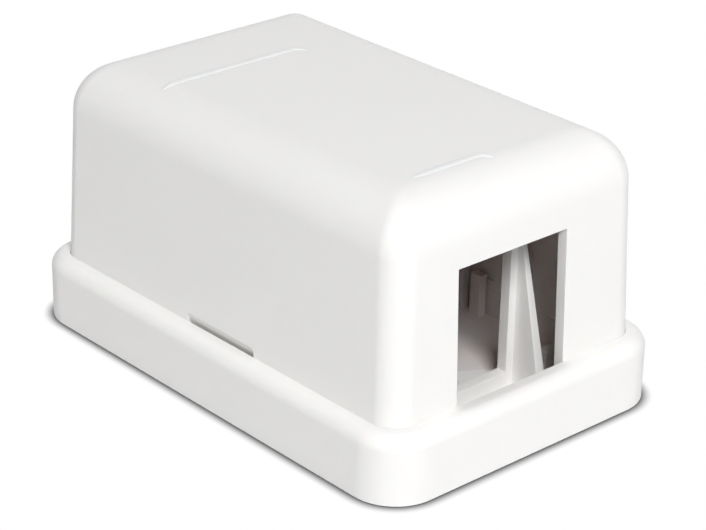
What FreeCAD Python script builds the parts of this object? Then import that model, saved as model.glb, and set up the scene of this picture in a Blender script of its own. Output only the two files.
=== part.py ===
# Surface mount jack box: a clip-on cover over a base tray that carries the jack frame.
# Lengths are in millimetres. X runs along the box with the jack opening at +X, Y across it
# and Z up. The origin is the middle of the base's underside. Left and right are as seen from
# the front, so left is towards -Y.
import FreeCAD, Part
import math
import os
import Sketcher

os.makedirs("parts", exist_ok=True)
doc = FreeCAD.newDocument("jack_box")

# Driving dimensions

SIZES = {
    # Base tray
    "base_length": 66.0,
    "base_width": 43.5,
    "base_corner": 5.8,
    "rim_height": 8.3,
    "rim_round": 1.7,
    "ledge_end": 2.5,
    "ledge_side": 2.25,
    "floor_thick": 2.0,
    "shelf_height": 5.5,
    "shelf_width": 1.6,
    "seam_gap": 0.15,
    # Cover
    "box_height": 33.5,
    "cover_draft": 0.95,
    "cover_wall": 1.4,
    "cover_roof": 1.6,
    "cover_corner": 3.2,
    "cover_top_round": 6.1,
    # Jack opening and jack frame
    "jack_offset": -1.4,
    "opening_width": 16.7,
    "opening_top": 24.7,
    "frame_setback": 8.1,
    "frame_thick": 1.45,
    "jack_width": 14.9,
    "sill_top": 4.0,
    "jack_top": 26.1,
    "head_height": 1.9,
    "post_strip": 1.1,
    "post_behind": 1.2,
    "gusset_foot": 3.8,
    "gusset_tip": 0.5,
    "gusset_foot_thick": 1.5,
    "gusset_tip_thick": 1.0,
    "stub_gap": 4.5,
    "stub_top": 3.1,
    # Latches and pry notch
    "latch_middle": 5.0,
    "latch_pitch": 3.0,
    "latch_width": 1.7,
    "latch_depth": 1.2,
    "latch_gap": 0.35,
    "latch_barb": 0.2,
    "latch_top": 7.6,
    "notch_middle": 1.0,
    "notch_length": 12.0,
    "notch_rise": 1.1,
    "notch_depth": 0.9,
    "catch_middle": 14.2,
    "catch_width": 1.1,
    "catch_bottom": 10.3,
    "catch_height": 3.0,
    "catch_depth": 1.0,
    # Floor holes, cable tie bridge and cable break-out, placed from the base's ends
    "rear_screw_inset": 9.0,
    "front_screw_inset": 17.0,
    "screw_hole": 4.2,
    "countersink": 1.3,
    "entry_inset": 25.0,
    "entry_length": 12.0,
    "entry_width": 14.0,
    "entry_corner": 2.0,
    "bridge_inset": 15.5,
    "bridge_length": 3.6,
    "bridge_width": 9.0,
    "bridge_height": 4.2,
    "tie_width": 4.4,
    "tie_height": 2.0,
    "tie_lift": 0.6,
    "break_width": 7.0,
    "break_top": 15.0,
    "break_groove": 0.5,
    "break_skin": 0.6,
    # Raised beads on the cover's top, placed from the cover's lower edges
    "bead_width": 1.05,
    "bead_height": 0.2,
    "bead_root": 0.3,
    "bead_slope": 30.0,
    "bead_bend": 1.3,
    "bead_tail": 0.2,
    "back_bead_inset": 15.5,
    "back_bead_left": 4.5,
    "back_bead_right": 12.9,
    "front_bead_inset": 7.3,
    "front_bead_left": 8.6,
    "front_bead_right": 18.9,
}

sheet = doc.addObject("Spreadsheet::Sheet", "Sizes")
for row, (alias, millimetres) in enumerate(SIZES.items(), start=1):
    sheet.set("A" + str(row), alias)
    sheet.set("B" + str(row), str(millimetres))
    sheet.setAlias("B" + str(row), alias)
doc.recompute()

# Places that follow from the sizes

COVER_HALF_LENGTH = "(Sizes.base_length / 2 - Sizes.ledge_end)"
COVER_HALF_WIDTH = "(Sizes.base_width / 2 - Sizes.ledge_side)"
COVER_HEIGHT = "(Sizes.box_height - Sizes.shelf_height)"
FRAME_FRONT = "(" + COVER_HALF_LENGTH + " - Sizes.frame_setback)"
FRAME_HEAD = "(Sizes.jack_top + Sizes.head_height)"
POST_WIDTH = "(Sizes.post_strip + Sizes.post_behind)"
TRAY_HALF_LENGTH = "(" + COVER_HALF_LENGTH + " + Sizes.seam_gap)"
TRAY_HALF_WIDTH = "(" + COVER_HALF_WIDTH + " + Sizes.seam_gap)"
WELL_HALF_LENGTH = "(" + TRAY_HALF_LENGTH + " - Sizes.shelf_width)"
WELL_HALF_WIDTH = "(" + TRAY_HALF_WIDTH + " - Sizes.shelf_width)"
TRAY_CORNER = "(Sizes.cover_corner + Sizes.seam_gap)"
WELL_CORNER = "(Sizes.cover_corner + Sizes.seam_gap - Sizes.shelf_width)"
CAVITY_HALF_LENGTH = "(" + COVER_HALF_LENGTH + " - Sizes.cover_wall)"
CAVITY_HALF_WIDTH = "(" + COVER_HALF_WIDTH + " - Sizes.cover_wall)"
CAVITY_TOP = "(Sizes.box_height - Sizes.cover_roof)"
DRAFT_SLOPE = "(Sizes.cover_draft / " + COVER_HEIGHT + ")"
REAR_END = "(0 - Sizes.base_length / 2)"
FRONT_END = "(Sizes.base_length / 2)"
PAST = "1"
UP = FreeCAD.Vector(0, 0, 1)
ALONG_X = FreeCAD.Rotation(FreeCAD.Vector(0, 1, 0), 90)
WEDGE_UPRIGHT = FreeCAD.Rotation(FreeCAD.Vector(1, 0, 0), 90)


def value(expression):
    """The number that an expression on the sheet gives now."""
    result = sheet.evalExpression(expression)
    return float(getattr(result, "Value", result))


def plus(*terms):
    return "(" + " + ".join(terms) + ")"


def minus(first, second):
    return "(" + first + " - " + second + ")"


def negative(term):
    return "(0 - " + term + ")"


# Helpers for bodies, sketches and features

def new_body(name):
    body = doc.addObject("PartDesign::Body", name)
    body.Label = name
    return body


def sketch_on(body, name, role, offset="0"):
    """A sketch on one of the body's origin planes, moved along the plane's normal."""
    sketch = body.newObject("Sketcher::SketchObject", name)
    plane = [item for item in body.Origin.OriginFeatures if item.Role == role][0]
    sketch.AttachmentSupport = [(plane, "")]
    sketch.MapMode = "FlatFace"
    sketch.setExpression("AttachmentOffset.Base.z", offset)
    return sketch


def bind(sketch, constraint, expression):
    """Adds a dimension to a sketch and ties it to an expression."""
    number = sketch.addConstraint(constraint)
    sketch.setExpression("Constraints[" + str(number) + "]", expression)


def draw_polygon(sketch, corners):
    """A closed outline of straight lines through corners given as pairs of expressions."""
    points = [FreeCAD.Vector(value(across), value(up), 0) for across, up in corners]
    first = sketch.GeometryCount
    count = len(points)
    for index in range(count):
        sketch.addGeometry(Part.LineSegment(points[index], points[(index + 1) % count]))
    for index in range(count):
        following = first + (index + 1) % count
        sketch.addConstraint(Sketcher.Constraint("Coincident", first + index, 2, following, 1))
    for index in range(count):
        line = first + index
        across, up = corners[index]
        x_now = points[index].x
        y_now = points[index].y
        bind(sketch, Sketcher.Constraint("DistanceX", -1, 1, line, 1, x_now), across)
        bind(sketch, Sketcher.Constraint("DistanceY", -1, 1, line, 1, y_now), up)


def draw_box(sketch, left, bottom, right, top):
    draw_polygon(sketch, [(left, bottom), (right, bottom), (right, top), (left, top)])


def draw_rounded_box(sketch, left, bottom, right, top, corner):
    """A rectangle whose corners are arcs, each tangent to its two sides."""
    low_x = value(left)
    low_y = value(bottom)
    high_x = value(right)
    high_y = value(top)
    radius = value(corner)
    turns = [((high_x - radius, low_y + radius), -90), ((high_x - radius, high_y - radius), 0),
             ((low_x + radius, high_y - radius), 90), ((low_x + radius, low_y + radius), 180)]
    ends = [((low_x + radius, low_y), (high_x - radius, low_y)),
            ((high_x, low_y + radius), (high_x, high_y - radius)),
            ((high_x - radius, high_y), (low_x + radius, high_y)),
            ((low_x, high_y - radius), (low_x, low_y + radius))]
    first = sketch.GeometryCount
    for (start, end), (middle, turn) in zip(ends, turns):
        sketch.addGeometry(Part.LineSegment(FreeCAD.Vector(*start), FreeCAD.Vector(*end)))
        circle = Part.Circle(FreeCAD.Vector(*middle), UP, radius)
        begin = math.radians(turn)
        sketch.addGeometry(Part.ArcOfCircle(circle, begin, begin + math.pi / 2))
    for index in range(8):
        following = first + (index + 1) % 8
        sketch.addConstraint(Sketcher.Constraint("Tangent", first + index, 2, following, 1))
    for side in (0, 4):
        sketch.addConstraint(Sketcher.Constraint("Horizontal", first + side))
        sketch.addConstraint(Sketcher.Constraint("Vertical", first + side + 2))
    for arc in (3, 5, 7):
        sketch.addConstraint(Sketcher.Constraint("Equal", first + 1, first + arc))
    bind(sketch, Sketcher.Constraint("Radius", first + 1, radius), corner)
    bind(sketch, Sketcher.Constraint("DistanceY", -1, 1, first, 1, low_y), bottom)
    bind(sketch, Sketcher.Constraint("DistanceX", -1, 1, first + 2, 1, high_x), right)
    bind(sketch, Sketcher.Constraint("DistanceY", -1, 1, first + 4, 1, high_y), top)
    bind(sketch, Sketcher.Constraint("DistanceX", -1, 1, first + 6, 1, low_x), left)


def draw_circle(sketch, across, up, radius):
    middle = FreeCAD.Vector(value(across), value(up), 0)
    circle = sketch.addGeometry(Part.Circle(middle, FreeCAD.Vector(0, 0, 1), value(radius)))
    bind(sketch, Sketcher.Constraint("DistanceX", -1, 1, circle, 3, middle.x), across)
    bind(sketch, Sketcher.Constraint("DistanceY", -1, 1, circle, 3, middle.y), up)
    bind(sketch, Sketcher.Constraint("Radius", circle, value(radius)), radius)


def pad(body, sketch, name, length, backward=False):
    feature = body.newObject("PartDesign::Pad", name)
    feature.Profile = sketch
    feature.setExpression("Length", length)
    feature.Reversed = backward
    sketch.Visibility = False
    doc.recompute()
    return feature


def pocket(body, sketch, name, depth):
    """Cuts a sketch's outline downwards, against its normal."""
    volume_before = body.Shape.Volume
    feature = body.newObject("PartDesign::Pocket", name)
    feature.Profile = sketch
    feature.setExpression("Length", depth)
    sketch.Visibility = False
    doc.recompute()
    if body.Shape.Volume >= volume_before:
        raise RuntimeError(name + " cuts nothing")
    return feature


def loft(body, sketches, name):
    feature = body.newObject("PartDesign::AdditiveLoft", name)
    feature.Profile = sketches[0]
    feature.Sections = sketches[1:]
    feature.Ruled = True
    doc.recompute()
    return feature


def fillet(body, name, radius, wanted):
    """Rounds the edges of the body's last feature that the test accepts."""
    base = body.Tip
    numbers = [index + 1 for index, edge in enumerate(base.Shape.Edges) if wanted(edge)]
    feature = body.newObject("PartDesign::Fillet", name)
    feature.Base = (base, ["Edge" + str(number) for number in numbers])
    feature.setExpression("Radius", radius)
    doc.recompute()
    return feature


def lies_at(edge, height):
    box = edge.BoundBox
    tolerance = 0.01
    return abs(box.ZMin - height) < tolerance and abs(box.ZMax - height) < tolerance


def rises(edge):
    level = 0.01
    return edge.BoundBox.ZLength > level


# Base tray

def build_tray(base):
    """The outer block with its rounded rim, the recess for the cover and the well."""
    rim_height = value("Sizes.rim_height")
    half_length = "(Sizes.base_length / 2)"
    half_width = "(Sizes.base_width / 2)"

    outline = sketch_on(base, "base_outline", "XY_Plane")
    draw_rounded_box(outline, negative(half_length), negative(half_width),
                     half_length, half_width, "Sizes.base_corner")
    pad(base, outline, "base_block", "Sizes.rim_height")
    fillet(base, "rim_rounding", "Sizes.rim_round", lambda edge: lies_at(edge, rim_height))

    recess = sketch_on(base, "cover_recess_outline", "XY_Plane", "Sizes.rim_height")
    draw_rounded_box(recess, negative(TRAY_HALF_LENGTH), negative(TRAY_HALF_WIDTH),
                     TRAY_HALF_LENGTH, TRAY_HALF_WIDTH, TRAY_CORNER)
    pocket(base, recess, "cover_recess", minus("Sizes.rim_height", "Sizes.shelf_height"))

    well = sketch_on(base, "well_outline", "XY_Plane", "Sizes.shelf_height")
    draw_rounded_box(well, negative(WELL_HALF_LENGTH), negative(WELL_HALF_WIDTH),
                     WELL_HALF_LENGTH, WELL_HALF_WIDTH, WELL_CORNER)
    pocket(base, well, "well", minus("Sizes.shelf_height", "Sizes.floor_thick"))


# Jack frame

def build_jack_frame(base):
    """Two posts, a sill and a head bar in one plane, braced by two tapered gussets."""
    half_jack = "(Sizes.jack_width / 2)"
    outer = plus(half_jack, POST_WIDTH)
    left = minus("Sizes.jack_offset", outer)
    right = plus("Sizes.jack_offset", outer)

    frame = sketch_on(base, "frame_outline", "YZ_Plane", FRAME_FRONT)
    draw_box(frame, left, "Sizes.floor_thick", right, FRAME_HEAD)
    draw_box(frame, minus("Sizes.jack_offset", half_jack), "Sizes.sill_top",
             plus("Sizes.jack_offset", half_jack), "Sizes.jack_top")
    pad(base, frame, "jack_frame", "Sizes.frame_thick", backward=True)

    for side, name in ((-1, "left"), (1, "right")):
        build_gusset(base, side, name)
        build_stub(base, side, name)


def build_gusset(base, side, name):
    """A brace in front of one post, wide and thick at the floor, thin at the head."""
    inner_face = plus("Sizes.jack_width / 2", "Sizes.post_strip")

    def section(label, height, reach, thick):
        near = plus("Sizes.jack_offset", str(side) + " * " + inner_face)
        far = plus(near, str(side) + " * " + thick)
        front = plus(FRAME_FRONT, reach)
        outline = sketch_on(base, name + label, "XY_Plane", height)
        draw_box(outline, FRAME_FRONT, near, front, far)
        outline.Visibility = False
        return outline

    foot = section("_gusset_foot", "Sizes.floor_thick", "Sizes.gusset_foot",
                   "Sizes.gusset_foot_thick")
    tip = section("_gusset_tip", FRAME_HEAD, "Sizes.gusset_tip",
                  "Sizes.gusset_tip_thick")
    loft(base, [foot, tip], name + "_gusset")


def build_stub(base, side, name):
    """A low rib from the well's wall towards the post, in the frame's plane."""
    post_face = plus("Sizes.jack_width / 2", POST_WIDTH)
    inner = plus("Sizes.jack_offset", str(side) + " * " + plus(post_face, "Sizes.stub_gap"))
    outer = str(side) + " * " + plus(WELL_HALF_WIDTH, "Sizes.shelf_width / 2")
    outline = sketch_on(base, name + "_stub_outline", "YZ_Plane", FRAME_FRONT)
    draw_box(outline, inner, "Sizes.floor_thick", outer, "Sizes.stub_top")
    pad(base, outline, name + "_stub", "Sizes.frame_thick", backward=True)


# Latch posts

def build_latch_posts(base):
    """Two upright tongues by each long wall, each with a barb that faces the wall."""
    inner = minus(WELL_HALF_WIDTH, plus("Sizes.latch_gap", "Sizes.latch_depth"))
    outer = minus(WELL_HALF_WIDTH, "Sizes.latch_gap")
    barb = plus(outer, "Sizes.latch_barb")
    barb_foot = minus("Sizes.latch_top", "3 * Sizes.latch_barb")
    barb_tip = minus("Sizes.latch_top", "2 * Sizes.latch_barb")
    profile = [(inner, "Sizes.floor_thick"), (outer, "Sizes.floor_thick"), (outer, barb_foot),
               (barb, barb_tip), (outer, "Sizes.latch_top"), (inner, "Sizes.latch_top")]
    for side, side_name in ((-1, "left"), (1, "right")):
        for step, step_name in ((-0.5, "rear"), (0.5, "front")):
            front = plus("Sizes.latch_middle", str(step) + " * Sizes.latch_pitch",
                         "Sizes.latch_width / 2")
            name = side_name + "_" + step_name + "_latch"
            outline = sketch_on(base, name + "_outline", "YZ_Plane", front)
            draw_polygon(outline, [(str(side) + " * " + across, up) for across, up in profile])
            pad(base, outline, name, "Sizes.latch_width", backward=True)


# Floor holes and cable tie bridge

def build_floor_holes(base):
    screws = sketch_on(base, "screw_hole_outline", "XY_Plane", "Sizes.floor_thick")
    for place in (plus(REAR_END, "Sizes.rear_screw_inset"),
                  minus(FRONT_END, "Sizes.front_screw_inset")):
        draw_circle(screws, place, "0", "Sizes.screw_hole / 2")
    pocket(base, screws, "screw_holes", plus("Sizes.floor_thick", PAST))

    floor_thick = value("Sizes.floor_thick")
    radius = value("Sizes.screw_hole / 2")
    tip = base.Tip
    rims = [index + 1 for index, edge in enumerate(tip.Shape.Edges)
            if lies_at(edge, floor_thick) and isinstance(edge.Curve, Part.Circle)
            and abs(edge.Curve.Radius - radius) < 0.01]
    sink = base.newObject("PartDesign::Chamfer", "countersinks")
    sink.Base = (tip, ["Edge" + str(number) for number in rims])
    sink.setExpression("Size", "Sizes.countersink")
    doc.recompute()

    entry = sketch_on(base, "cable_entry_outline", "XY_Plane", "Sizes.floor_thick")
    middle = plus(REAR_END, "Sizes.entry_inset")
    draw_rounded_box(entry, minus(middle, "Sizes.entry_length / 2"), "0 - Sizes.entry_width / 2",
                     plus(middle, "Sizes.entry_length / 2"), "Sizes.entry_width / 2",
                     "Sizes.entry_corner")
    pocket(base, entry, "cable_entry", plus("Sizes.floor_thick", PAST))


def build_tie_bridge(base):
    """An arch on the floor that a cable tie is threaded through."""
    top = plus("Sizes.floor_thick", "Sizes.bridge_height")
    block = sketch_on(base, "tie_bridge_outline", "YZ_Plane",
                      plus(REAR_END, "Sizes.bridge_inset", "Sizes.bridge_length / 2"))
    draw_box(block, "0 - Sizes.bridge_width / 2", "Sizes.floor_thick",
             "Sizes.bridge_width / 2", top)
    tunnel = plus("Sizes.floor_thick", "Sizes.tie_lift")
    draw_box(block, "0 - Sizes.tie_width / 2", tunnel,
             "Sizes.tie_width / 2", plus(tunnel, "Sizes.tie_height"))
    pad(base, block, "tie_bridge", "Sizes.bridge_length", backward=True)


base = new_body("base")
build_tray(base)
build_floor_holes(base)
build_jack_frame(base)
build_latch_posts(base)
build_tie_bridge(base)


# Cover

def wedge(name, low, high, low_x, high_x, low_y, high_y):
    """A block whose section changes evenly from its low face to its high face.

    low_x, high_x, low_y and high_y are pairs of expressions: the section's two edges
    across X and across Y at the low face and at the high face.
    """
    block = doc.addObject("Part::Wedge", name)
    block.Placement = FreeCAD.Placement(FreeCAD.Vector(), WEDGE_UPRIGHT)
    block.setExpression("Ymin", low)
    block.setExpression("Ymax", high)
    block.setExpression("Xmin", low_x[0])
    block.setExpression("Xmax", low_x[1])
    block.setExpression("X2min", high_x[0])
    block.setExpression("X2max", high_x[1])
    block.setExpression("Zmin", negative(low_y[1]))
    block.setExpression("Zmax", negative(low_y[0]))
    block.setExpression("Z2min", negative(high_y[1]))
    block.setExpression("Z2max", negative(high_y[0]))
    doc.recompute()
    return block


def box(name, low, high):
    """A plain block between two corners given as expressions."""
    block = doc.addObject("Part::Box", name)
    for axis, side, start, end in zip("xyz", ("Length", "Width", "Height"), low, high):
        block.setExpression("Placement.Base." + axis, start)
        block.setExpression(side, minus(end, start))
    return block


def join(kind, name, pieces):
    result = doc.addObject(kind, name)
    result.Shapes = pieces
    doc.recompute()
    return result


def cut(name, body, tool):
    result = doc.addObject("Part::Cut", name)
    result.Base = body
    result.Tool = tool
    doc.recompute()
    if result.Shape.Volume >= body.Shape.Volume:
        raise RuntimeError(name + " cuts nothing")
    return result


def rounded(name, block, radius, wanted):
    """Rounds those edges of a block that the test accepts."""
    size = value(radius)
    result = doc.addObject("Part::Fillet", name)
    result.Base = block
    result.Edges = [(index + 1, size, size)
                    for index, edge in enumerate(block.Shape.Edges) if wanted(edge)]
    doc.recompute()
    return result


def dome_block(name, half_length, half_width, low, high, corner, top_round):
    """A block that leans in by the cover's draft, with a round top and round corners.

    The top's edges are rounded first. Each corner's edge then runs up the walls and over the
    bend to the flat top, so it takes one smooth rounding that fades out there.
    """
    def edges_at(half, height):
        there = minus(half, DRAFT_SLOPE + " * " + minus(height, "Sizes.shelf_height"))
        return (negative(there), there)

    block = wedge(name + "_block", low, high, edges_at(half_length, low),
                  edges_at(half_length, high), edges_at(half_width, low),
                  edges_at(half_width, high))
    top = value(high)
    bent = rounded(name + "_top_bend", block, top_round, lambda edge: lies_at(edge, top))
    return rounded(name, bent, corner, rises)


def build_jack_opening():
    half = "Sizes.opening_width / 2"
    return box("jack_opening",
               (FRAME_FRONT, minus("Sizes.jack_offset", half), minus("Sizes.shelf_height", PAST)),
               (plus(COVER_HALF_LENGTH, PAST), plus("Sizes.jack_offset", half),
                "Sizes.opening_top"))


def build_pry_notch(side, name):
    """A scoop in the cover's long wall, deepest below the rim and fading out above it."""
    ends = (minus("Sizes.notch_middle", "Sizes.notch_length / 2"),
            plus("Sizes.notch_middle", "Sizes.notch_length / 2"))
    outside = plus(COVER_HALF_WIDTH, PAST)
    deep = minus(COVER_HALF_WIDTH, "Sizes.notch_depth")
    high = plus("Sizes.rim_height", "Sizes.notch_rise")
    face = minus(COVER_HALF_WIDTH, DRAFT_SLOPE + " * " + minus(high, "Sizes.shelf_height"))
    if side > 0:
        low_y = (deep, outside)
        high_y = (face, outside)
    else:
        low_y = (negative(outside), negative(deep))
        high_y = (negative(outside), negative(face))
    return wedge(name, minus("Sizes.rim_height", "Sizes.notch_rise"), high,
                 ends, ends, low_y, high_y)


def build_latch_groove(side, name):
    """A shallow groove inside the long wall, level with the barbs of the latch posts."""
    reach = plus("Sizes.latch_pitch / 2", "Sizes.latch_width")
    inner = minus(CAVITY_HALF_WIDTH, PAST)
    outer = plus(CAVITY_HALF_WIDTH, "Sizes.latch_barb")
    low = (inner, outer) if side > 0 else (negative(outer), negative(inner))
    barb_tip = minus("Sizes.latch_top", "2 * Sizes.latch_barb")
    return box(name,
               (minus("Sizes.latch_middle", reach), low[0],
                minus(barb_tip, "2 * Sizes.latch_barb")),
               (plus("Sizes.latch_middle", reach), low[1],
                plus(barb_tip, "2 * Sizes.latch_barb")))


def build_arch(name, half_width, top, low_x, high_x):
    """A block with a half-round top, lying along X."""
    spring = minus(top, half_width)
    block = box(name + "_legs", (low_x, negative(half_width), minus("Sizes.shelf_height", PAST)),
                (high_x, half_width, spring))
    crown = doc.addObject("Part::Cylinder", name + "_crown")
    crown.Placement = FreeCAD.Placement(FreeCAD.Vector(), ALONG_X)
    crown.setExpression("Radius", half_width)
    crown.setExpression("Height", minus(high_x, low_x))
    crown.setExpression("Placement.Base.x", low_x)
    crown.setExpression("Placement.Base.z", spring)
    return join("Part::MultiFuse", name, [block, crown])


def build_break_out():
    """The arched groove that leaves a thin skin to break out for a cable."""
    low_x = minus(negative(COVER_HALF_LENGTH), PAST)
    high_x = negative(minus(COVER_HALF_LENGTH, minus("Sizes.cover_wall", "Sizes.break_skin")))
    outer = build_arch("break_out_edge", plus("Sizes.break_width / 2", "Sizes.break_groove"),
                       plus("Sizes.break_top", "Sizes.break_groove"), low_x, high_x)
    inner = build_arch("break_out_tab", "(Sizes.break_width / 2)", "Sizes.break_top",
                       minus(low_x, PAST), plus(high_x, PAST))
    return cut("break_out_groove", outer, inner)


def build_catch_block(side, end, name):
    """A small block inside the long wall, with its root sunk into the wall."""
    middle = str(end) + " * Sizes.catch_middle"
    root = plus(CAVITY_HALF_WIDTH, "Sizes.cover_wall / 4")
    tip = minus(CAVITY_HALF_WIDTH,
                plus("Sizes.catch_depth", DRAFT_SLOPE + " * "
                     + minus("Sizes.catch_bottom", "Sizes.shelf_height")))
    across = (tip, root) if side > 0 else (negative(root), negative(tip))
    return box(name,
               (minus(middle, "Sizes.catch_width / 2"), across[0], "Sizes.catch_bottom"),
               (plus(middle, "Sizes.catch_width / 2"), across[1],
                plus("Sizes.catch_bottom", "Sizes.catch_height")))


def build_bead(name, middle, left, right):
    """A fine raised bead across the top, whose right end turns towards the front.

    Its outline is drawn just inside the roof and pushed up through it, and its sides lean in.
    """
    half = "(Sizes.bead_width / 2)"
    turn_x = plus(middle, "Sizes.bead_bend")
    turn_y = minus(right, plus("Sizes.bead_bend", half))
    end_y = plus(left, half)
    tip_x = plus(turn_x, "Sizes.bead_tail")
    back = value(minus(middle, half))
    front = value(plus(middle, half))
    turn = FreeCAD.Vector(value(turn_x), value(turn_y), 0)
    end = FreeCAD.Vector(value(middle), value(end_y), 0)
    wide = value(plus("Sizes.bead_bend", half))
    tight = value(minus("Sizes.bead_bend", half))
    tip = FreeCAD.Vector(value(tip_x), turn.y + (wide + tight) / 2, 0)

    def arc(middle_point, radius, begin, finish):
        circle = Part.Circle(middle_point, UP, radius)
        return Part.ArcOfCircle(circle, math.radians(begin), math.radians(finish))

    def line(start, finish):
        return Part.LineSegment(FreeCAD.Vector(*start), FreeCAD.Vector(*finish))

    outline = doc.addObject("Sketcher::SketchObject", name + "_outline")
    outline.setExpression("Placement.Base.z", minus("Sizes.box_height", "Sizes.bead_root"))
    back_side = outline.addGeometry(line((back, turn.y), (back, end.y)))
    left_end = outline.addGeometry(arc(end, value(half), 180, 360))
    front_side = outline.addGeometry(line((front, end.y), (front, turn.y)))
    inner_turn = outline.addGeometry(arc(turn, tight, 90, 180))
    inner_tail = outline.addGeometry(line((turn.x, turn.y + tight), (tip.x, turn.y + tight)))
    tail_end = outline.addGeometry(arc(tip, value(half), -90, 90))
    outer_tail = outline.addGeometry(line((tip.x, turn.y + wide), (turn.x, turn.y + wide)))
    outer_turn = outline.addGeometry(arc(turn, wide, 90, 180))

    joints = [(back_side, 2, left_end, 1), (left_end, 2, front_side, 1),
              (front_side, 2, inner_turn, 2), (inner_turn, 1, inner_tail, 1),
              (inner_tail, 2, tail_end, 1), (tail_end, 2, outer_tail, 1),
              (outer_tail, 2, outer_turn, 1), (outer_turn, 2, back_side, 1)]
    for joint in joints:
        outline.addConstraint(Sketcher.Constraint("Tangent", *joint))
    outline.addConstraint(Sketcher.Constraint("Coincident", inner_turn, 3, outer_turn, 3))
    outline.addConstraint(Sketcher.Constraint("Vertical", back_side))
    outline.addConstraint(Sketcher.Constraint("Horizontal", outer_tail))
    bind(outline, Sketcher.Constraint("Radius", outer_turn, wide), plus("Sizes.bead_bend", half))
    bind(outline, Sketcher.Constraint("Radius", inner_turn, tight), minus("Sizes.bead_bend", half))
    bind(outline, Sketcher.Constraint("DistanceX", -1, 1, outer_turn, 3, turn.x), turn_x)
    bind(outline, Sketcher.Constraint("DistanceY", -1, 1, outer_turn, 3, turn.y), turn_y)
    bind(outline, Sketcher.Constraint("DistanceY", -1, 1, left_end, 3, end.y), end_y)
    bind(outline, Sketcher.Constraint("DistanceX", -1, 1, tail_end, 3, tip.x), tip_x)

    bead = doc.addObject("Part::Extrusion", name)
    bead.Base = outline
    bead.DirMode = "Custom"
    bead.Dir = UP
    bead.setExpression("LengthFwd", plus("Sizes.bead_height", "Sizes.bead_root"))
    bead.setExpression("TaperAngle", "0 - Sizes.bead_slope")
    bead.Solid = True
    outline.Visibility = False
    doc.recompute()
    return bead


def build_beads():
    rear = negative(COVER_HALF_LENGTH)
    back = build_bead("back_bead", plus(rear, "Sizes.back_bead_inset"),
                      minus("Sizes.back_bead_left", COVER_HALF_WIDTH),
                      minus(COVER_HALF_WIDTH, "Sizes.back_bead_right"))
    front = build_bead("front_bead", minus(COVER_HALF_LENGTH, "Sizes.front_bead_inset"),
                       minus("Sizes.front_bead_left", COVER_HALF_WIDTH),
                       minus(COVER_HALF_WIDTH, "Sizes.front_bead_right"))
    return [back, front]


def build_cover():
    shell = dome_block("cover_outside", COVER_HALF_LENGTH, COVER_HALF_WIDTH,
                       "Sizes.shelf_height", "Sizes.box_height",
                       "Sizes.cover_corner", "Sizes.cover_top_round")
    cavity = dome_block("cover_inside", CAVITY_HALF_LENGTH, CAVITY_HALF_WIDTH,
                        minus("Sizes.shelf_height", PAST), CAVITY_TOP,
                        minus("Sizes.cover_corner", "Sizes.cover_wall"),
                        minus("Sizes.cover_top_round", "Sizes.cover_roof"))
    hollow = cut("cover_shell", shell, cavity)
    added = [hollow] + build_beads()
    removed = [build_jack_opening(), build_break_out()]
    for side, side_name in ((-1, "left"), (1, "right")):
        removed.append(build_pry_notch(side, side_name + "_pry_notch"))
        removed.append(build_latch_groove(side, side_name + "_latch_groove"))
        for end, end_name in ((-1, "rear"), (1, "front")):
            name = side_name + "_" + end_name + "_catch_block"
            added.append(build_catch_block(side, end, name))
    full = join("Part::MultiFuse", "cover_with_blocks", added)
    tools = join("Part::MultiFuse", "cover_cuts", removed)
    cover = cut("cover", full, tools)
    cover.Label = "cover"
    return cover


cover = build_cover()

# Checks and files

doc.recompute()
for item in doc.Objects:
    if "Invalid" in item.State or "Error" in item.State:
        raise RuntimeError(item.Name + " failed: " + str(item.State))
for piece in (base, cover):
    shape = piece.Shape
    if shape.isNull() or not shape.isValid() or len(shape.Solids) != 1:
        raise RuntimeError(piece.Label + " isn't one valid solid")
for piece in (base, cover):
    piece.Shape.exportStep("parts/" + piece.Label + ".step")
    print(piece.Label, "volume", round(piece.Shape.Volume, 1), "faces", len(piece.Shape.Faces))
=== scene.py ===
# Surface mount jack box: a white moulded cover clipped over a white base tray.
# Lengths are in metres, in the part's own frame: the jack opening faces +X and +Z is up.
import math

import bmesh
import bpy
from mathutils import Matrix, Vector


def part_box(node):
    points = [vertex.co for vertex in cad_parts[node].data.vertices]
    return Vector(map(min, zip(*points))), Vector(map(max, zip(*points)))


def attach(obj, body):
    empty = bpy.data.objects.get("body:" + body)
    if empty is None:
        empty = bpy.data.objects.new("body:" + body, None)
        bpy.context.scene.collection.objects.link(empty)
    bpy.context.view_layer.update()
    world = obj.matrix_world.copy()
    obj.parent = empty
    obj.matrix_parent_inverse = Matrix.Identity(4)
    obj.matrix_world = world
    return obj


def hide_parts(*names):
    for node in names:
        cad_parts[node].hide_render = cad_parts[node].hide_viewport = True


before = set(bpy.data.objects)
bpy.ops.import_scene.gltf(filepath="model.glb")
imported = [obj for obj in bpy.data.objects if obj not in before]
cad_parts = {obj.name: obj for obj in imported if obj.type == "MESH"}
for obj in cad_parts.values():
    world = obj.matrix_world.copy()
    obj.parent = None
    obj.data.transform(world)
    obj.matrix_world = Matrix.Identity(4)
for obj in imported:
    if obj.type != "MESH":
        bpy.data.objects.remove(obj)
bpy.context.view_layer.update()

MM = 0.001


# The view of the photograph

IMAGE_WIDTH = 706
FOCAL_PIXELS = 2367.0
SENSOR_WIDTH = 36.0
AZIMUTH = 42.24
ELEVATION = 25.30
ROLL = 1.18
DISTANCE = 273.3 * MM
AIM = Vector((8.08, -5.29, 16.0)) * MM
NEAREST_SEEN = 0.01
FARTHEST_SEEN = 20.0


def towards(azimuth, elevation):
    """The direction at an azimuth from +X towards -Y and an elevation, both in degrees."""
    across = math.radians(azimuth)
    up = math.radians(elevation)
    return Vector((math.cos(up) * math.cos(across), -math.cos(up) * math.sin(across),
                   math.sin(up)))


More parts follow.
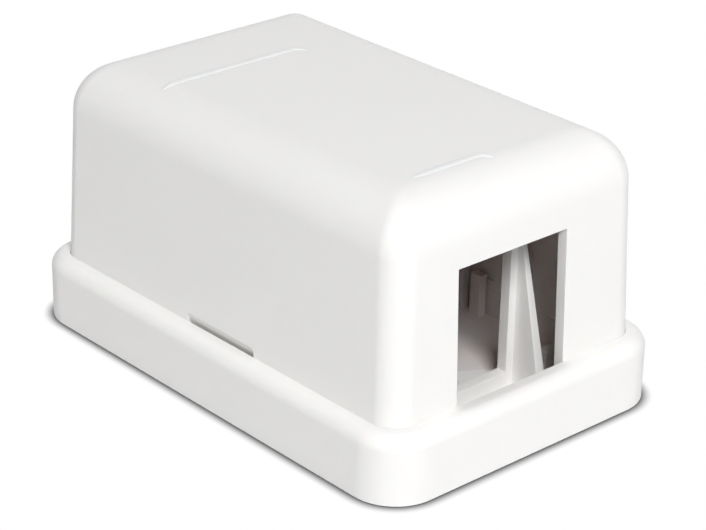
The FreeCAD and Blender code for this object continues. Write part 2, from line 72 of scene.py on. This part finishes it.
def build_camera():
    """The camera stands off the front left corner and looks down on the box."""
    back = towards(AZIMUTH, ELEVATION)
    right = (-back).cross(Vector((0, 0, 1))).normalized()
    up = right.cross(-back)
    turn = math.radians(ROLL)
    right_rolled = right * math.cos(turn) + up * math.sin(turn)
    up_rolled = up * math.cos(turn) - right * math.sin(turn)
    data = bpy.data.cameras.new("camera")
    data.sensor_width = SENSOR_WIDTH
    data.lens = FOCAL_PIXELS / IMAGE_WIDTH * SENSOR_WIDTH
    data.clip_start = NEAREST_SEEN
    data.clip_end = FARTHEST_SEEN
    camera = bpy.data.objects.new("camera", data)
    axes = Matrix((right_rolled, up_rolled, back)).transposed().to_4x4()
    camera.matrix_world = Matrix.Translation(AIM + back * DISTANCE) @ axes
    bpy.context.scene.collection.objects.link(camera)
    bpy.context.scene.camera = camera


# Light

# Azimuths are in degrees from +X towards -Y, elevations in degrees above the floor.
LIT_POINT = Vector((0, 0, 15.0)) * MM
DAYLIGHT = (0.988, 1.0, 1.014)
KEY_AZIMUTH = 30.0
KEY_ELEVATION = 42.0
KEY_DISTANCE = 0.90
KEY_SIZE = 0.28
KEY_LEVEL = 0.875
FRONT_AZIMUTH = 4.0
FRONT_ELEVATION = 12.0
FRONT_DISTANCE = 0.90
FRONT_SIZE = 0.25
FRONT_LEVEL = 0.04
BACK_AZIMUTH = 225.0
BACK_ELEVATION = 8.0
BACK_DISTANCE = 1.20
BACK_SIZE = 0.80
BACK_LEVEL = 0.60
ROOM_LEVEL = 0.385
GLOW_PLACE = Vector((2.0, 4.0, 22.0)) * MM
GLOW_SIZE = 5.0 * MM
GLOW_LEVEL = 0.075
GLOW_TINT = (1.0, 0.30, 0.05)


def add_lamp(name, data, place, direction):
    """A lamp at a place, which shines back along a direction."""
    lamp = bpy.data.objects.new(name, data)
    lamp.location = place
    lamp.rotation_euler = direction.to_track_quat("Z", "Y").to_euler()
    bpy.context.scene.collection.objects.link(lamp)
    return lamp


def soft_lamp(name, direction, distance, size, level):
    """A soft square lamp that faces the box, at a level where 1 shows a white as it is."""
    data = bpy.data.lights.new(name, "AREA")
    data.size = size
    data.color = DAYLIGHT
    data.energy = level * math.pi ** 2 * distance ** 2
    return add_lamp(name, data, LIT_POINT + direction * distance, direction)


def wall_glow():
    """The faint warm light that comes through the thin plastic into the box."""
    data = bpy.data.lights.new("wall_glow", "POINT")
    data.shadow_soft_size = GLOW_SIZE
    data.color = GLOW_TINT
    data.energy = GLOW_LEVEL * 4 * math.pi ** 2 * GLOW_SIZE ** 2
    lamp = add_lamp("wall_glow", data, GLOW_PLACE, Vector((0, 0, 1)))
    lamp.visible_camera = False
    lamp.visible_glossy = False


def build_lights():
    """A soft key that shines into the opening, a low front lamp and a fill from behind."""
    soft_lamp("key_lamp", towards(KEY_AZIMUTH, KEY_ELEVATION), KEY_DISTANCE, KEY_SIZE, KEY_LEVEL)
    soft_lamp("front_lamp", towards(FRONT_AZIMUTH, FRONT_ELEVATION), FRONT_DISTANCE, FRONT_SIZE,
              FRONT_LEVEL)
    back = soft_lamp("back_lamp", towards(BACK_AZIMUTH, BACK_ELEVATION), BACK_DISTANCE,
                     BACK_SIZE, BACK_LEVEL)
    back.visible_glossy = False
    wall_glow()
    world = bpy.data.worlds.new("white_room")
    bpy.context.scene.world = world
    world.use_nodes = True
    room = world.node_tree.nodes["Background"]
    room.inputs["Color"].default_value = (*DAYLIGHT, 1.0)
    room.inputs["Strength"].default_value = ROOM_LEVEL


# Floor

FLOOR_GREY = 0.70
FLOOR_ROUGHNESS = 0.9
FLOOR_SHINE = 0.1
FLOOR_HALF = 3.0
FLOOR_DROP = 0.02 * MM
SHADE_SAMPLES = 16
# Each shade: its reach, the openness where it is darkest and where it ends, and its least light.
CONTACT_SHADE = (1.4 * MM, 0.5, 1.0, 0.12)
HOLLOW_SHADE = (40.0 * MM, 0.05, 0.35, 0.05)


def floor_shade(nodes, links, reach, darkest, brightest, least):
    """How bright the paper is near the part: 1 in the open and least where it is covered."""
    near = nodes.new("ShaderNodeAmbientOcclusion")
    near.samples = SHADE_SAMPLES
    near.inputs["Distance"].default_value = reach
    shade = nodes.new("ShaderNodeMapRange")
    shade.inputs["From Min"].default_value = darkest
    shade.inputs["From Max"].default_value = brightest
    shade.inputs["To Min"].default_value = least
    shade.inputs["To Max"].default_value = 1.0
    links.new(near.outputs["AO"], shade.inputs["Value"])
    return shade.outputs["Result"]


def floor_paper():
    """Paper that looks white but for the narrow shade round the part and the dark inside it."""
    material = bpy.data.materials.new("floor_paper")
    material.use_nodes = True
    tree = material.node_tree
    nodes = tree.nodes
    links = tree.links
    paper = nodes["Principled BSDF"]
    paper.inputs["Base Color"].default_value = (FLOOR_GREY, FLOOR_GREY, FLOOR_GREY, 1.0)
    paper.inputs["Roughness"].default_value = FLOOR_ROUGHNESS
    paper.inputs["Specular IOR Level"].default_value = FLOOR_SHINE
    both = nodes.new("ShaderNodeMath")
    both.operation = "MULTIPLY"
    links.new(floor_shade(nodes, links, *CONTACT_SHADE), both.inputs[0])
    links.new(floor_shade(nodes, links, *HOLLOW_SHADE), both.inputs[1])
    white = nodes.new("ShaderNodeEmission")
    links.new(both.outputs["Value"], white.inputs["Strength"])
    path = nodes.new("ShaderNodeLightPath")
    seen = path.outputs["Is Camera Ray"]
    for ray in ("Is Glossy Ray", "Is Transmission Ray"):
        either = nodes.new("ShaderNodeMath")
        either.operation = "MAXIMUM"
        links.new(seen, either.inputs[0])
        links.new(path.outputs[ray], either.inputs[1])
        seen = either.outputs["Value"]
    mix = nodes.new("ShaderNodeMixShader")
    links.new(seen, mix.inputs["Fac"])
    links.new(paper.outputs["BSDF"], mix.inputs[1])
    links.new(white.outputs["Emission"], mix.inputs[2])
    links.new(mix.outputs["Shader"], nodes["Material Output"].inputs["Surface"])
    return material


def build_floor():
    """One large sheet of paper, a hair below the part's underside."""
    mesh = bpy.data.meshes.new("floor")
    mesh.from_pydata([(x * FLOOR_HALF, y * FLOOR_HALF, -FLOOR_DROP)
                      for x, y in ((-1, -1), (1, -1), (1, 1), (-1, 1))], [], [(0, 1, 2, 3)])
    floor = bpy.data.objects.new("floor", mesh)
    bpy.context.scene.collection.objects.link(floor)
    mesh.materials.append(floor_paper())


# White plastic

GRAIN_HEIGHT = 0.004 * MM
GRAIN_STRENGTH = 0.5
GRAIN_DETAIL = 2.0
CLOUD_DETAIL = 3.0
PLASTIC_IOR = 1.53
SCATTER_RADIUS = (1.0, 0.62, 0.48)
SCATTER_SCALE = 0.8 * MM
SCATTER_WEIGHT = 0.15
# Each plastic: its colour, its roughness and the size of the faint clouds in it.
BASE_WHITE = ((0.812, 0.796, 0.776, 1.0), 0.54, 14.0 * MM)
COVER_WHITE = ((0.800, 0.785, 0.765, 1.0), 0.52, 18.0 * MM)
# The inside plastic is darker and warmer than the outer ones: painted shade in the box's hollow.
INSIDE_PAINTED_SHADE_WHITE = ((0.745, 0.695, 0.672, 1.0), 0.56, 14.0 * MM)


def new_socket(group, name, direction, kind, default=None):
    """A named input or output of a node group."""
    socket = group.interface.new_socket(name=name, in_out=direction, socket_type=kind)
    if default is not None:
        socket.default_value = default
    return socket


def moulded_surface_group():
    """The surface that an etched mould leaves: a fine grain, faint clouds and uneven gloss."""
    group = bpy.data.node_groups.new("moulded_surface", "ShaderNodeTree")
    new_socket(group, "Color", "INPUT", "NodeSocketColor", (0.8, 0.8, 0.8, 1.0))
    new_socket(group, "Cloud Size", "INPUT", "NodeSocketFloat", 12.0 * MM)
    new_socket(group, "Cloud Depth", "INPUT", "NodeSocketFloat", 0.02)
    new_socket(group, "Roughness", "INPUT", "NodeSocketFloat", 0.4)
    new_socket(group, "Gloss Change", "INPUT", "NodeSocketFloat", 0.08)
    new_socket(group, "Grain Size", "INPUT", "NodeSocketFloat", 0.12 * MM)
    new_socket(group, "Color", "OUTPUT", "NodeSocketColor")
    new_socket(group, "Roughness", "OUTPUT", "NodeSocketFloat")
    new_socket(group, "Height", "OUTPUT", "NodeSocketFloat")
    nodes = group.nodes
    links = group.links
    given = nodes.new("NodeGroupInput")
    made = nodes.new("NodeGroupOutput")
    place = nodes.new("ShaderNodeTexCoord")

    def noise_of(size, detail):
        """Noise whose features measure about the size that a socket gives."""
        scale = nodes.new("ShaderNodeMath")
        scale.operation = "DIVIDE"
        scale.inputs[0].default_value = 1.0
        links.new(size, scale.inputs[1])
        noise = nodes.new("ShaderNodeTexNoise")
        noise.inputs["Detail"].default_value = detail
        links.new(place.outputs["Object"], noise.inputs["Vector"])
        links.new(scale.outputs["Value"], noise.inputs["Scale"])
        return noise.outputs["Fac"]

    def spread(factor, middle, depth):
        """Moves a value up and down round its middle by up to the depth."""
        centred = nodes.new("ShaderNodeMath")
        centred.operation = "SUBTRACT"
        centred.inputs[1].default_value = 0.5
        links.new(factor, centred.inputs[0])
        moved = nodes.new("ShaderNodeMath")
        moved.operation = "MULTIPLY_ADD"
        links.new(centred.outputs["Value"], moved.inputs[0])
        links.new(depth, moved.inputs[1])
        if isinstance(middle, float):
            moved.inputs[2].default_value = middle
        else:
            links.new(middle, moved.inputs[2])
        return moved.outputs["Value"]

    clouds = noise_of(given.outputs["Cloud Size"], CLOUD_DETAIL)
    brightness = spread(clouds, 1.0, given.outputs["Cloud Depth"])
    tint = nodes.new("ShaderNodeVectorMath")
    tint.operation = "SCALE"
    links.new(given.outputs["Color"], tint.inputs[0])
    links.new(brightness, tint.inputs["Scale"])
    links.new(tint.outputs["Vector"], made.inputs["Color"])

    links.new(spread(clouds, given.outputs["Roughness"], given.outputs["Gloss Change"]),
              made.inputs["Roughness"])
    links.new(noise_of(given.outputs["Grain Size"], GRAIN_DETAIL), made.inputs["Height"])
    return group


def white_plastic(name, group, color, roughness, cloud_size):
    """White moulded plastic that lets a little warm light through its thin walls."""
    material = bpy.data.materials.new(name)
    material.use_nodes = True
    nodes = material.node_tree.nodes
    links = material.node_tree.links
    shader = nodes["Principled BSDF"]
    surface = nodes.new("ShaderNodeGroup")
    surface.node_tree = group
    surface.inputs["Color"].default_value = color
    surface.inputs["Roughness"].default_value = roughness
    surface.inputs["Cloud Size"].default_value = cloud_size
    links.new(surface.outputs["Color"], shader.inputs["Base Color"])
    links.new(surface.outputs["Roughness"], shader.inputs["Roughness"])
    bump = nodes.new("ShaderNodeBump")
    bump.inputs["Distance"].default_value = GRAIN_HEIGHT
    bump.inputs["Strength"].default_value = GRAIN_STRENGTH
    links.new(surface.outputs["Height"], bump.inputs["Height"])
    links.new(bump.outputs["Normal"], shader.inputs["Normal"])
    shader.inputs["IOR"].default_value = PLASTIC_IOR
    shader.inputs["Subsurface Weight"].default_value = SCATTER_WEIGHT
    shader.inputs["Subsurface Radius"].default_value = SCATTER_RADIUS
    shader.inputs["Subsurface Scale"].default_value = SCATTER_SCALE
    return material


# Mouldings with their edges softened

MERGE_DISTANCE = 0.002 * MM
NEAR = 0.01 * MM
CLOSE = 0.02 * MM
FLAT_ANGLE = 0.5
SHARP_ANGLE = 35.0
SMOOTH_ANGLE = 30.0
FLAT_WEIGHT = 50
EDGE_RADIUS = 0.10 * MM
EDGE_SEGMENTS = 2
SOFTEN_BELOW = 30.0 * MM

# The rim's inner edge, which closes the seam round the cover
RIM_TOP = 8.3 * MM
SEAM_REACH = 0.3 * MM
SEAM_CORNER = 3.35 * MM
SEAM_CLOSING = 0.235 * MM

# The roof: flat in its middle, and bent down all round
ROOF = 33.5 * MM
ROOF_FLAT = Vector((23.65, 12.65)) * MM
ROOF_BEND = 6.1 * MM

# The raised beads. A cut is an axis and a place on it. A path is a bead's place along the box,
# its left end and where it turns to the front.
BEAD_ABOVE = 0.015 * MM
BEAD_WITHIN = Vector((25.3, 16.0)) * MM
BEAD_CUTS = ((1, -12.65 * MM), (1, -13.4 * MM), (1, -14.1 * MM), (0, 23.8 * MM))
BEAD_PATHS = {"back_bead": (-15.0 * MM, -15.0 * MM, 4.775 * MM),
              "front_bead": (23.2 * MM, -10.9 * MM, -1.225 * MM)}
BEAD_TURN = 1.3 * MM
BEAD_TURN_STEP = 10
BEAD_TAIL = 0.2 * MM
BEAD_SIDES = 32
BEAD_DROP = 1.0
BEAD_SETTINGS = {"Step": 0.25 * MM, "Half Width": 0.525 * MM, "Height": 0.16 * MM,
                 "Sink": 0.03 * MM, "Left Fade": 1.8 * MM, "Right Fade": 0.7 * MM,
                 "Faint": 0.3}

# The jack frame with its gussets and stubs. A lean is the lowest and highest level of the
# corners that it moves, and how far they are from the jack's middle before and after it.
JACK_MIDDLE = -1.4 * MM
FRAME_FRONT = 22.4 * MM
FRAME_BACK = 20.9 * MM
GUSSET_HEAD = Vector((22.9, 0, 28.0)) * MM
GUSSET_FOOT = Vector((26.2, 0, 2.0)) * MM
GUSSET_TOP = 23.4 * MM
GUSSET_FRONT = 26.8 * MM
GUSSET_THINNED = 0.5 * MM
GUSSET_OUTER = 9.0 * MM
FRAME_LEANS = ((27.9 * MM, 28.1 * MM, 9.75 * MM, 9.05 * MM),
               (17.0 * MM, 18.2 * MM, 9.75 * MM, 9.33 * MM),
               (27.9 * MM, 28.1 * MM, 9.55 * MM, 8.85 * MM))
STUB_TOP = 3.1 * MM
STUB_RAISED = 1.2 * MM

# The pry notches in the cover's long walls
NOTCH_TOP = 9.4 * MM
NOTCH_MIDDLE = 1.0 * MM
NOTCH_LENGTH = 12.0 * MM
NOTCH_ROUND = 0.18 * MM
NOTCH_SEGMENTS = 3

# Which faces are inside the box; they take the darker, warmer plastic, which is painted shade
INSIDE_X = 29.15 * MM
INSIDE_Y = 18.4 * MM
INSIDE_FLOOR = 1.95 * MM
INSIDE_ROOF = 32.5 * MM
INSIDE_STRAIGHT = 25.0 * MM
INSIDE_MIDDLE = Vector((0, 0, 12.0)) * MM


def merged_shape(node):
    """A node's own shape with its loose triangles joined and its flat faces whole."""
    shape = bmesh.new()
    shape.from_mesh(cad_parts[node].data)
    bmesh.ops.remove_doubles(shape, verts=shape.verts, dist=MERGE_DISTANCE)
    bmesh.ops.dissolve_limit(shape, angle_limit=math.radians(FLAT_ANGLE), verts=shape.verts,
                             edges=shape.edges)
    return shape


def seam_edge(shape):
    """The corners along the inner edge of the base's rim, where the cover goes in."""
    cover_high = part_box("cover")[1]
    return [corner for corner in shape.verts
            if abs(corner.co.z - RIM_TOP) < MERGE_DISTANCE
            and abs(corner.co.x) < cover_high[0] + SEAM_REACH
            and abs(corner.co.y) < cover_high[1] + SEAM_REACH]


def close_seam(corners):
    """Leans the rim's inner edge in against the cover, so that no dark gap shows."""
    arc_x = max(corner.co.x for corner in corners) - SEAM_CORNER
    arc_y = max(corner.co.y for corner in corners) - SEAM_CORNER
    for corner in corners:
        middle = Vector((max(-arc_x, min(arc_x, corner.co.x)),
                         max(-arc_y, min(arc_y, corner.co.y)), RIM_TOP))
        outwards = (corner.co - middle).normalized()
        corner.co -= outwards * SEAM_CLOSING


def bead_tree():
    """Nodes that lay a low crown along a path on the roof and let it fade out at both ends."""
    tree = bpy.data.node_groups.new("raised_bead", "GeometryNodeTree")
    new_socket(tree, "Path", "INPUT", "NodeSocketGeometry")
    new_socket(tree, "Cover", "INPUT", "NodeSocketObject")
    new_socket(tree, "Plastic", "INPUT", "NodeSocketMaterial")
    for setting in BEAD_SETTINGS:
        new_socket(tree, setting, "INPUT", "NodeSocketFloat")
    new_socket(tree, "Bead", "OUTPUT", "NodeSocketGeometry")
    nodes = tree.nodes
    links = tree.links
    given = nodes.new("NodeGroupInput")
    made = nodes.new("NodeGroupOutput")

    def worked_out(operation, first, second):
        """The result of a sum on two sockets, or on a socket and a number."""
        node = nodes.new("ShaderNodeMath")
        node.operation = operation
        for socket, term in zip(node.inputs, (first, second)):
            if isinstance(term, float):
                socket.default_value = term
            else:
                links.new(term, socket)
        return node.outputs["Value"]

    steps = nodes.new("GeometryNodeResampleCurve")
    steps.mode = "LENGTH"
    links.new(given.outputs["Path"], steps.inputs["Curve"])
    links.new(given.outputs["Step"], steps.inputs["Length"])

    along = nodes.new("GeometryNodeSplineParameter")
    length = nodes.new("GeometryNodeSplineLength")
    to_end = worked_out("SUBTRACT", length.outputs["Length"], along.outputs["Length"])
    fades = []
    for distance, fade in ((along.outputs["Length"], "Left Fade"), (to_end, "Right Fade")):
        ramp = nodes.new("ShaderNodeMapRange")
        ramp.interpolation_type = "SMOOTHSTEP"
        links.new(distance, ramp.inputs["Value"])
        links.new(given.outputs[fade], ramp.inputs["From Max"])
        links.new(given.outputs["Faint"], ramp.inputs["To Min"])
        fades.append(ramp.outputs["Result"])
    strength = worked_out("MINIMUM", *fades)

    cover = nodes.new("GeometryNodeObjectInfo")
    links.new(given.outputs["Cover"], cover.inputs["Object"])
    place = nodes.new("GeometryNodeInputPosition")
    drop = nodes.new("GeometryNodeRaycast")
    drop.inputs["Ray Direction"].default_value = (0, 0, -1)
    drop.inputs["Ray Length"].default_value = BEAD_DROP
    links.new(cover.outputs["Geometry"], drop.inputs["Target Geometry"])
    links.new(place.outputs["Position"], drop.inputs["Source Position"])
    sunk = nodes.new("ShaderNodeCombineXYZ")
    depth = worked_out("MULTIPLY", strength, given.outputs["Sink"])
    links.new(worked_out("MULTIPLY", depth, -1.0), sunk.inputs["Z"])
    laid = nodes.new("GeometryNodeSetPosition")
    links.new(steps.outputs["Curve"], laid.inputs["Geometry"])
    links.new(drop.outputs["Hit Position"], laid.inputs["Position"])
    links.new(sunk.outputs["Vector"], laid.inputs["Offset"])

    upright = nodes.new("GeometryNodeSetCurveNormal")
    upright.mode = "Z_UP"
    links.new(laid.outputs["Geometry"], upright.inputs["Curve"])

    ring = nodes.new("GeometryNodeCurvePrimitiveCircle")
    ring.inputs["Resolution"].default_value = BEAD_SIDES
    ring.inputs["Radius"].default_value = 1.0
    oval = nodes.new("GeometryNodeTransform")
    size = nodes.new("ShaderNodeCombineXYZ")
    size.inputs["Z"].default_value = 1.0
    links.new(given.outputs["Half Width"], size.inputs["X"])
    half_height = worked_out("ADD", given.outputs["Height"], given.outputs["Sink"])
    links.new(half_height, size.inputs["Y"])
    links.new(ring.outputs["Curve"], oval.inputs["Geometry"])
    links.new(size.outputs["Vector"], oval.inputs["Scale"])

    crown = nodes.new("GeometryNodeCurveToMesh")
    crown.inputs["Fill Caps"].default_value = True
    links.new(upright.outputs["Curve"], crown.inputs["Curve"])
    links.new(strength, crown.inputs["Scale"])
    links.new(oval.outputs["Geometry"], crown.inputs["Profile Curve"])
    real = nodes.new("GeometryNodeRealizeInstances")
    links.new(crown.outputs["Mesh"], real.inputs["Geometry"])
    coated = nodes.new("GeometryNodeSetMaterial")
    links.new(real.outputs["Geometry"], coated.inputs["Geometry"])
    links.new(given.outputs["Plastic"], coated.inputs["Material"])
    links.new(coated.outputs["Geometry"], made.inputs["Bead"])
    return tree


def bead_path(name, line_x, left, turn_y):
    """A bead's middle line above the roof: straight across, then a bend towards the front."""
    points = [(line_x, left)]
    for degrees in range(180, 90 - BEAD_TURN_STEP, -BEAD_TURN_STEP):
        turn = math.radians(degrees)
        points.append((line_x + BEAD_TURN * (1 + math.cos(turn)),
                       turn_y + BEAD_TURN * math.sin(turn)))
    points.append((points[-1][0] + BEAD_TAIL, points[-1][1]))
    curve = bpy.data.curves.new(name, "CURVE")
    curve.dimensions = "3D"
    spline = curve.splines.new("POLY")
    spline.points.add(len(points) - 1)
    for point, (x, y) in zip(spline.points, points):
        point.co = (x, y, 2 * ROOF, 1.0)
    path = bpy.data.objects.new(name, curve)
    bpy.context.scene.collection.objects.link(path)
    return path


def roof_height(place):
    """How high the roof's outer face is at a place, on its flat or on the bends around it."""
    across = max(abs(place.x) - ROOF_FLAT.x, abs(place.y) - ROOF_FLAT.y, 0.0)
    return ROOF - ROOF_BEND + math.sqrt(max(ROOF_BEND ** 2 - across ** 2, 0.0))


def raised_faces(shape):
    """The faces of the plain beads, which stand above the roof."""
    return [face for face in shape.faces
            if any(corner.co.z > roof_height(corner.co) + BEAD_ABOVE
                   and abs(corner.co.x) < BEAD_WITHIN.x
                   and abs(corner.co.y) < BEAD_WITHIN.y for corner in face.verts)]


def remove_beads(shape):
    """Takes the plain beads off the copied roof and closes it where they stood.

    Cuts across them keep the closing faces on the bend where a bead reaches down it.
    """
    for axis, level in BEAD_CUTS:
        place = Vector((0, 0, ROOF))
        place[axis] = level
        direction = Vector((0, 0, 0))
        direction[axis] = 1.0
        beads = raised_faces(shape)
        around = set(beads)
        for face in beads:
            around.update(face.edges)
            around.update(face.verts)
        bmesh.ops.bisect_plane(shape, geom=list(around), dist=MERGE_DISTANCE,
                               plane_co=place, plane_no=direction)
    bmesh.ops.delete(shape, geom=raised_faces(shape), context="FACES")
    rims = [edge for edge in shape.edges if len(edge.link_faces) == 1]
    corners = {corner for edge in rims for corner in edge.verts}
    for axis, level in BEAD_CUTS:
        ends = [corner for corner in corners
                if abs(corner.co[axis] - level) < MERGE_DISTANCE]
        if len(ends) == 2:
            rims.append(shape.edges.new(ends))
    closed = bmesh.ops.triangle_fill(shape, use_beauty=True, edges=rims)
    for face in closed["geom"]:
        if isinstance(face, bmesh.types.BMFace):
            face.normal_update()
            if face.normal.z < 0:
                face.normal_flip()
    loose = [corner for corner in shape.verts if not corner.link_faces]
    bmesh.ops.delete(shape, geom=loose, context="VERTS")


def add_beads(shape, material):
    """Lays the two crowned beads on the bare roof and adds them to the shape."""
    mesh = bpy.data.meshes.new("bare_cover")
    shape.to_mesh(mesh)
    bare = bpy.data.objects.new("bare_cover", mesh)
    bpy.context.scene.collection.objects.link(bare)
    tree = bead_tree()
    sockets = {item.name: item.identifier for item in tree.interface.items_tree
               if item.in_out == "INPUT"}
    for name, (line_x, left, turn_y) in BEAD_PATHS.items():
        path = bead_path(name, line_x, left, turn_y)
        laying = path.modifiers.new("raised_bead", "NODES")
        laying.node_group = tree
        for socket, setting in {"Cover": bare, "Plastic": material, **BEAD_SETTINGS}.items():
            laying[sockets[socket]] = setting
        evaluated = path.evaluated_get(bpy.context.evaluated_depsgraph_get())
        shape.from_mesh(bpy.data.meshes.new_from_object(evaluated))
        bpy.data.objects.remove(path)
    bpy.data.objects.remove(bare)


def shape_gussets(shape):
    """Draws the gussets of the copied jack frame to a lower tip and a longer foot.

    The frame's outer sides lean in with them.
    """
    def beside(corner, place):
        """Whether a corner stands at a place, seen along Y."""
        return (abs(corner.co.x - place.x) < NEAR
                and abs(corner.co.z - place.z) < NEAR)

    heads = [corner for corner in shape.verts if beside(corner, GUSSET_HEAD)]
    feet = [corner for corner in shape.verts if beside(corner, GUSSET_FOOT)]
    down = (GUSSET_HEAD.z - GUSSET_TOP) / (GUSSET_HEAD.z - GUSSET_FOOT.z)
    for head in heads:
        foot = min(feet, key=lambda corner: abs(corner.co.y - head.co.y))
        across = head.co.y + (foot.co.y - head.co.y) * down
        if abs(head.co.y - JACK_MIDDLE) > GUSSET_OUTER:
            across -= math.copysign(GUSSET_THINNED, head.co.y - JACK_MIDDLE)
        head.co = Vector((FRAME_FRONT + CLOSE, across, GUSSET_TOP))
        # The side turns inward at its new tip, so it is cut there and can't fold over itself.
        root = min(shape.verts, key=lambda corner: (
            corner.co - Vector((FRAME_FRONT, foot.co.y, GUSSET_FOOT.z))).length)
        if shape.edges.get((root, head)) is None:
            for side in set(root.link_faces) & set(head.link_faces):
                bmesh.utils.face_split(side, root, head)
    for foot in feet:
        foot.co.x = GUSSET_FRONT
    for corner in shape.verts:
        if not FRAME_BACK < corner.co.x < GUSSET_HEAD.x:
            continue
        out = abs(corner.co.y - JACK_MIDDLE)
        for low, high, was, leant in FRAME_LEANS:
            if low < corner.co.z < high and abs(out - was) < CLOSE:
                corner.co.y = JACK_MIDDLE + math.copysign(leant, corner.co.y - JACK_MIDDLE)
    uneven = [face for face in shape.faces
              if any(corner.co.z > GUSSET_TOP - MERGE_DISTANCE and corner.co.x > FRAME_BACK
                     for corner in face.verts)]
    bmesh.ops.connect_verts_nonplanar(shape, angle_limit=math.radians(FLAT_ANGLE),
                                      faces=uneven)


def raise_stubs(shape):
    """Lifts the tops of the two low stubs beside the copied jack frame."""
    for corner in shape.verts:
        if (abs(corner.co.z - STUB_TOP) < NEAR and FRAME_BACK < corner.co.x < GUSSET_HEAD.x
                and abs(corner.co.y) > GUSSET_OUTER):
            corner.co.z += STUB_RAISED


def ease_notches(shape):
    """Rounds the upper edge of each pry notch, where the scoop fades into the wall."""
    edges = [edge for edge in shape.edges
             if all(abs(corner.co.z - NOTCH_TOP) < MERGE_DISTANCE and abs(corner.co.y) > INSIDE_Y
                    and abs(corner.co.x - NOTCH_MIDDLE) < NOTCH_LENGTH / 2 + MERGE_DISTANCE
                    for corner in edge.verts)]
    bmesh.ops.bevel(shape, geom=edges, offset=NOTCH_ROUND, offset_type="OFFSET",
                    segments=NOTCH_SEGMENTS, profile=0.5, affect="EDGES", clamp_overlap=False)


def within(corners, across_x, across_y):
    """Whether every corner is within these distances of the box's middle."""
    return all(abs(corner.x) < across_x and abs(corner.y) < across_y for corner in corners)


def inside_base(face, corners):
    """Whether a face is in the tray's well, behind the jack frame."""
    return (face.center.z > INSIDE_FLOOR and face.center.x < FRAME_BACK
            and within(corners, INSIDE_X, INSIDE_Y))


def inside_cover(face, corners):
    """Whether a face is on the inner side of the cover's walls and roof."""
    if face.center.z > INSIDE_ROOF or not within(corners, INSIDE_X, INSIDE_Y):
        return False
    straight = all(corner.z < INSIDE_STRAIGHT for corner in corners)
    return straight or face.normal.dot(face.center - INSIDE_MIDDLE) < 0


def soften(shape, kept_sharp):
    """Marks the sharp edges that get a fine radius: all below the roof but the seam's."""
    weights = shape.edges.layers.float.new("bevel_weight_edge")
    for edge in shape.edges:
        low = max(corner.co.z for corner in edge.verts) < SOFTEN_BELOW
        seam = all(corner in kept_sharp for corner in edge.verts)
        if low and not seam and edge.calc_face_angle(0) > math.radians(SHARP_ANGLE):
            edge[weights] = 1.0


def applied(piece):
    """Turns a piece and its modifiers into a plain mesh."""
    evaluated = piece.evaluated_get(bpy.context.evaluated_depsgraph_get())
    piece.data = bpy.data.meshes.new_from_object(evaluated)
    piece.modifiers.clear()


def finish_moulding(shape, node, materials, is_inside):
    """Makes the shape a piece that stands for its node, with fine radii and smooth faces."""
    mesh = bpy.data.meshes.new(node + "_moulding")
    shape.to_mesh(mesh)
    shape.free()
    for attribute in ("custom_normal", "sharp_edge", "sharp_face"):
        if attribute in mesh.attributes:
            mesh.attributes.remove(mesh.attributes[attribute])
    for material in materials:
        mesh.materials.append(material)
    piece = bpy.data.objects.new(node + "_moulding", mesh)
    bpy.context.scene.collection.objects.link(piece)
    bevel = piece.modifiers.new("fine_radii", "BEVEL")
    bevel.limit_method = "WEIGHT"
    bevel.width = EDGE_RADIUS
    bevel.segments = EDGE_SEGMENTS
    bevel.use_clamp_overlap = False
    applied(piece)
    for face in piece.data.polygons:
        corners = [piece.data.vertices[number].co for number in face.vertices]
        # Faces inside the box take the darker, warmer plastic: painted shade.
        face.material_index = 1 if is_inside(face, corners) else 0
    piece.data.shade_smooth()
    piece.data.set_sharp_from_angle(angle=math.radians(SMOOTH_ANGLE))
    flat = piece.modifiers.new("flat_faces_stay_flat", "WEIGHTED_NORMAL")
    flat.mode = "FACE_AREA"
    flat.weight = FLAT_WEIGHT
    flat.keep_sharp = True
    applied(piece)
    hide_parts(node)
    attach(piece, node)


def build_base(materials):
    """The base tray, with its rim closed against the cover and its jack frame drawn in."""
    shape = merged_shape("base")
    rim = seam_edge(shape)
    close_seam(rim)
    shape_gussets(shape)
    raise_stubs(shape)
    soften(shape, set(rim))
    finish_moulding(shape, "base", materials, inside_base)


def build_cover(materials):
    """The cover, with its notches eased and its beads laid on the roof."""
    shape = merged_shape("cover")
    remove_beads(shape)
    ease_notches(shape)
    soften(shape, set())
    add_beads(shape, materials[0])
    finish_moulding(shape, "cover", materials, inside_cover)


build_camera()
build_lights()
build_floor()

surface_group = moulded_surface_group()
# The faces inside the box get a darker, warmer plastic, which is painted shade.
inside_painted_shade_plastic = white_plastic("inside_painted_shade_plastic", surface_group, *INSIDE_PAINTED_SHADE_WHITE)
build_base([white_plastic("base_plastic", surface_group, *BASE_WHITE), inside_painted_shade_plastic])
build_cover([white_plastic("cover_plastic", surface_group, *COVER_WHITE), inside_painted_shade_plastic])

bpy.context.scene.view_settings.view_transform = "Standard"
